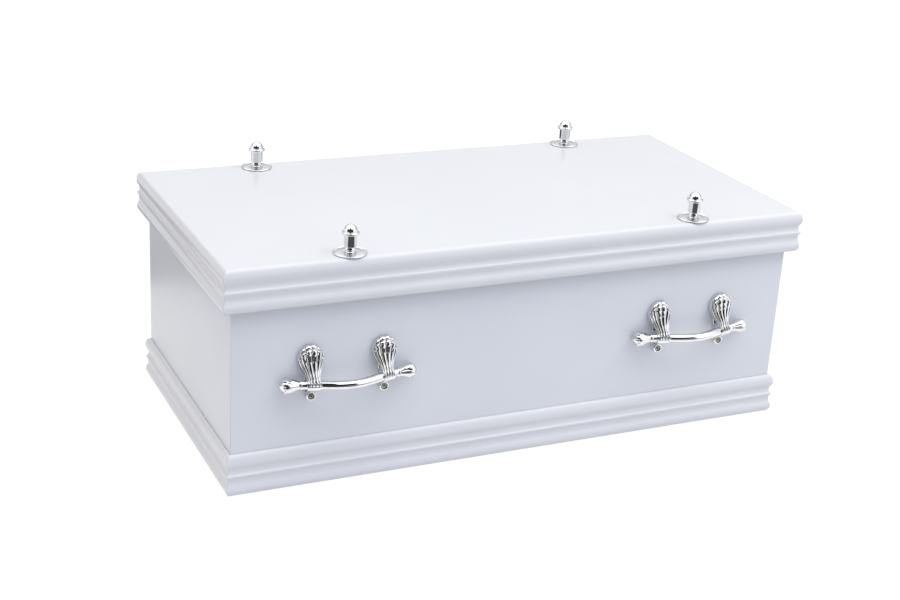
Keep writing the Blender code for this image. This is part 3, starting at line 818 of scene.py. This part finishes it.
def neck(lx):
    """Oval stalk from the plate to the collar."""
    around = 32
    verts = []
    for out in (0.0014, 0.0165):
        for i in range(around):
            angle = 2 * math.pi * (i + 0.37) / around
            verts.append(handle_point(lx + 0.0056 * math.cos(angle), out, 0.1377 + 0.0078 * math.sin(angle)))
    return verts, tube_faces(2, around)


def boss_profile():
    r, out, sink, sink_r = BOSS_R - 0.0003, BOSS_OUT, BOSS_SINK, BOSS_SINK_R
    points = [(0.0, 0.0013), (r, 0.0013)]
    points += arc((r - 0.0009, out - 0.0009), (0.0009, 0.0009), 0, 90, 6)
    points += arc((sink_r + 0.0003, out - 0.0003), (0.0003, 0.0003), 90, 180, 4)
    points += [(sink_r, out - sink), (0.0, out - sink)]
    return points


def lug(which):
    """Made for the right end of a bar, and mirrored for its left end."""
    at = LUG_X
    slant = COLLAR_TILT * bar_slope(at)
    mesh = make_mesh("lug", *shell(at, slant))
    mesh = combine(mesh, "UNION", *backplate(at))
    mesh = combine(mesh, "UNION", *collar(at, slant))
    mesh = combine(mesh, "UNION", *neck(at))
    out_axis = Vector((0, -1, 0))
    boss = lathe(boss_profile(), 64, handle_point(at, 0.0, BOSS_Z), out_axis)
    mesh = combine(mesh, "UNION", *boss)
    mesh = combine(mesh, "DIFFERENCE", *along_bar(at, COLLAR_HALF + 0.006, BAR_R + 0.00015, 56, 20))
    hole = rod(handle_point(at, -0.004, BOSS_Z), handle_point(at, BOSS_OUT, BOSS_Z), LUG_SCREW_R + 0.0004, 24)
    mesh = combine(mesh, "DIFFERENCE", *hole)
    drop_crumbs(mesh)
    if which < 0:
        mesh.transform(Matrix.Diagonal((-1, 1, 1, 1)))
        mesh.flip_normals()
    soften_all(mesh, 38.0)
    return mesh


def lug_screw(which):
    """Countersunk cross-head screw in the boss."""
    seat = BOSS_OUT - BOSS_SINK + GAP
    head = seat + LUG_SCREW_HEAD_T
    r = LUG_SCREW_HEAD_R - 0.0001
    profile = [(0.0, -LUG_SCREW_IN), (LUG_SCREW_R, -LUG_SCREW_IN + 0.002), (LUG_SCREW_R, seat), (r, seat)]
    profile += arc((r - 0.0016, seat + 0.0005), (0.0016, LUG_SCREW_HEAD_T - 0.0005), 0, 78, 8)
    profile += [(0.0, head)]
    centre = handle_point(which * LUG_X, 0.0, BOSS_Z)
    mesh = make_mesh("screw", *lathe(profile, 48, centre, Vector((0, -1, 0))))
    cuts = []
    turn = 0.35 * which + 0.6
    for quarter in (0.0, math.pi / 2):
        along = Vector((math.cos(turn + quarter), 0, math.sin(turn + quarter)))
        over = Vector((-along.z, 0, along.x))
        verts = []
        for out, reach, wide in ((head - 0.0010, 0.0013, 0.00028), (head + 0.0006, 0.0025, 0.00050)):
            middle = Vector((centre.x, -(WIDTH / 2 + out), centre.z))
            for a, b in ((-1, -1), (1, -1), (1, 1), (-1, 1)):
                verts.append(middle + along * (a * reach) + over * (b * wide))
        cuts.append((verts, tube_faces(2, 4)))
    for cut in cuts:
        mesh = combine(mesh, "DIFFERENCE", *cut)
    soften_all(mesh, 32.0)
    return mesh


def copy_to(mesh, shift_x, back):
    """The front handle's mesh, moved along the wall, and turned over for the back wall."""
    made = mesh.copy()
    matrix = Matrix.Translation((shift_x, 0, 0))
    if back:
        matrix = matrix @ Matrix.Diagonal((1, -1, 1, 1))
    made.transform(matrix)
    if back:
        made.flip_normals()
    return made


bar_mesh = handle_bar()
lug_meshes = {"a": lug(-1), "b": lug(1)}
screw_meshes = {"a": lug_screw(-1), "b": lug_screw(1)}
for side, back in (("front", False), ("back", True)):
    for end, sx in (("left", -1), ("right", 1)):
        corner = side + "_" + end
        place(copy_to(bar_mesh, sx * HANDLE_X, back), "handle_bar_" + corner, "chrome_handles")
        for letter in ("a", "b"):
            place(copy_to(lug_meshes[letter], sx * HANDLE_X, back), f"handle_lug_{corner}_{letter}", "chrome_handles")
            place(copy_to(screw_meshes[letter], sx * HANDLE_X, back), f"handle_lug_screw_{corner}_{letter}", "steel_screws")
for mesh in (bar_mesh, *lug_meshes.values(), *screw_meshes.values()):
    bpy.data.meshes.remove(mesh)


# ---- floor, light and camera -------------------------------------------------------------------
scene = bpy.context.scene
scene.view_settings.view_transform = "Standard"
scene.view_settings.look = "None"
scene.view_settings.exposure = 0.0
scene.view_settings.gamma = 1.0

floor_mesh = make_mesh(
    "studio_floor",
    [Vector((-6, -6, 0)), Vector((6, -6, 0)), Vector((6, 6, 0)), Vector((-6, 6, 0))],
    [(0, 1, 2, 3)],
)
floor_obj = bpy.data.objects.new("studio_floor", floor_mesh)
floor_obj.location.z = -0.0004
scene.collection.objects.link(floor_obj)
floor_obj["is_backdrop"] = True
floor_mat, n, shader = shader_of("studio_floor")
shader.inputs["Base Color"].default_value = (0.73, 0.73, 0.73, 1)
shader.inputs["Roughness"].default_value = 0.9
shader.inputs["Specular IOR Level"].default_value = 0.0
path = n.add("ShaderNodeLightPath")
# what bright metal sees of it is a painted reflection: the floor glows as a white sheet round the object, and a
# painted dark patch stands for the studio floor beyond
geometry = n.add("ShaderNodeNewGeometry").outputs["Position"]
toward = n.add("ShaderNodeVectorMath", operation="DOT_PRODUCT")
n.link(geometry, toward.inputs[0])
toward.inputs[1].default_value = (-0.08, -0.997, 0.0)
along = n.add("ShaderNodeVectorMath", operation="DOT_PRODUCT")
n.link(geometry, along.inputs[0])
along.inputs[1].default_value = (0.8988, -0.4384, 0.0)
ahead_mask = n.ramp(n.math("ABSOLUTE", toward.outputs["Value"]), 0.45, 0.52)
side_mask = n.math("SUBTRACT", 1.0, n.ramp(n.math("ABSOLUTE", along.outputs["Value"]), 0.86, 1.06))
dark_reflection_mask = n.math("MULTIPLY", ahead_mask, side_mask)
# painted reflection: a bright glow and a dark patch, shown only to glossy rays
painted_floor_reflection = n.mix(dark_reflection_mask, (1.32, 1.32, 1.32, 1), (0.045, 0.046, 0.05, 1))
floor_reflection_glow = n.add("ShaderNodeEmission")
n.link(painted_floor_reflection, floor_reflection_glow.inputs["Color"])
for_metal = n.add("ShaderNodeMixShader")
n.link(n.math("MULTIPLY", path.outputs["Is Glossy Ray"], 0.93), for_metal.inputs["Fac"])
n.link(shader.outputs["BSDF"], for_metal.inputs[1])
n.link(floor_reflection_glow.outputs["Emission"], for_metal.inputs[2])
glow = n.add("ShaderNodeEmission")
glow.inputs["Strength"].default_value = 1.06
mixed = n.add("ShaderNodeMixShader")
n.link(n.math("MULTIPLY", path.outputs["Is Camera Ray"], 0.93), mixed.inputs["Fac"])
n.link(for_metal.outputs[0], mixed.inputs[1])
n.link(glow.outputs["Emission"], mixed.inputs[2])
n.link(mixed.outputs[0], floor_mat.node_tree.nodes["Material Output"].inputs["Surface"])
floor_mesh.materials.append(floor_mat)

world = bpy.data.worlds.new("studio")
scene.world = world
world.use_nodes = True
n = Nodes(world.node_tree)
background = world.node_tree.nodes["Background"]
direction = n.add("ShaderNodeTexCoord").outputs["Generated"]
split = n.add("ShaderNodeSeparateXYZ")
n.link(direction, split.inputs[0])
dx, dy, dz = split.outputs
azimuth = n.math("MULTIPLY", n.math("ARCTAN2", dx, n.math("MULTIPLY", dy, -1.0)), 180 / math.pi)
elevation = n.math("MULTIPLY", n.math("ARCSINE", dz), 180 / math.pi)
# soft room light, cooler from the front and strongest overhead
front = n.ramp(n.math("MULTIPLY", dy, -1.0), -0.1, 0.9)
height = n.ramp(dz, 0.0, 1.0, kind="LINEAR")
room = n.mix(front, (0.985, 0.985, 0.99, 1), (0.79, 0.885, 1.125, 1))
room_strength = n.math("ADD", n.math("MULTIPLY", n.math("POWER", height, 1.3), 0.68), 0.495)
# and weaker from behind and a little from the left
room_strength = n.math("MULTIPLY", room_strength, n.ramp(dx, -1.0, 0.0, 0.87, 1.0))
room_strength = n.math("MULTIPLY", room_strength, n.ramp(n.math("MULTIPLY", dy, -1.0), -0.7, 0.1, 0.90, 1.0))
room_node = n.add("ShaderNodeVectorMath", operation="SCALE")
n.link(room, room_node.inputs[0])
n.link(room_strength, room_node.inputs["Scale"])


def window(value, centre, half, soft):
    """1 within a span of degrees, fading to 0 past it."""
    away = n.math("ABSOLUTE", n.math("SUBTRACT", value, centre))
    return n.math("SUBTRACT", 1.0, n.ramp(away, half, half + soft))


# what bright metal sees: a dark room round the camera with someone standing in it, a white tent
# elsewhere with a bank of light high up, greyer low behind the object, and a dark room across from the camera low down
dark_front = n.math("MULTIPLY", window(azimuth, -30.0, 50.0, 9.0), window(elevation, 0.0, 38.0, 8.0))
standing = n.math("MULTIPLY", window(azimuth, -26.0, 15.0, 6.0), window(elevation, 20.0, 44.0, 8.0))
dark_front = n.math("MAXIMUM", dark_front, standing)
turned = n.math("ABSOLUTE", n.math("SUBTRACT", n.math("ABSOLUTE", n.math("ADD", azimuth, 26.0)), 180.0))
dark_back = n.math(
    "MULTIPLY",
    n.math("SUBTRACT", 1.0, n.ramp(turned, 36.0, 46.0)),
    n.math("SUBTRACT", 1.0, n.ramp(elevation, 5.0, 12.0)),
)
dark = n.math("MAXIMUM", dark_front, dark_back)
seam = n.math("MULTIPLY", n.math("SUBTRACT", 1.0, n.ramp(turned, 60.0, 100.0)), n.math("SUBTRACT", 1.0, n.ramp(elevation, 26.0, 38.0)))
tent = n.mix(seam, (1.45, 1.45, 1.45, 1), (0.78, 0.785, 0.79, 1))
bank = window(elevation, 60.0, 13.0, 9.0)
tent = n.mix(bank, tent, (2.6, 2.6, 2.6, 1))
seen = n.mix(dark, tent, (0.035, 0.036, 0.04, 1))
path = n.add("ShaderNodeLightPath")
not_camera = n.mix(path.outputs["Is Glossy Ray"], room_node.outputs[0], seen)
final = n.mix(path.outputs["Is Camera Ray"], not_camera, (1.04, 1.04, 1.04, 1))
n.link(final, background.inputs["Color"])
background.inputs["Strength"].default_value = 1.0


def softbox(name, at, aim, wide, high, watts, colour):
    light = bpy.data.lights.new(name, "AREA")
    light.shape = "RECTANGLE"
    light.size, light.size_y = wide, high
    light.energy = watts
    light.color = colour
    obj = bpy.data.objects.new(name, light)
    scene.collection.objects.link(obj)
    obj.location = at
    obj.rotation_mode = "QUATERNION"
    obj.rotation_quaternion = (Vector(aim) - Vector(at)).to_track_quat("-Z", "Y")
    obj.visible_camera = False
    obj.visible_glossy = False
    return obj


softbox("key", (1.5, -1.2, 2.3), (0, 0, 0.15), 1.1, 1.1, 12.5, (1.0, 0.99, 0.98))
softbox("overhead", (-0.2, -1.0, 2.5), (0, 0, 0.15), 1.6, 0.9, 11.5, (1.0, 1.0, 1.0))

camera = bpy.data.cameras.new("camera")
camera.sensor_width = 36.0
camera.lens = 1589.8503222178506 / 900 * 36.0
camera.clip_start = 0.01
camera.clip_end = 50.0
camera_obj = bpy.data.objects.new("camera", camera)
scene.collection.objects.link(camera_obj)
right = Vector((0.9093698093062923, -0.41249885133618663, 0.053770322377349744))
down = Vector((-0.10587254427898835, -0.35450321032011, -0.9290416988707394))
ahead = Vector((0.4022903855303171, 0.8391496717028867, -0.366046819670389))
eye = Vector((-0.876506993010155, -1.7886321244614731, 0.9179447199554748))
camera_obj.matrix_world = Matrix(
    (
        (right.x, -down.x, -ahead.x, eye.x),
        (right.y, -down.y, -ahead.y, eye.y),
        (right.z, -down.z, -ahead.z, eye.z),
        (0, 0, 0, 1),
    )
)
scene.camera = camera_obj

low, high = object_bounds()
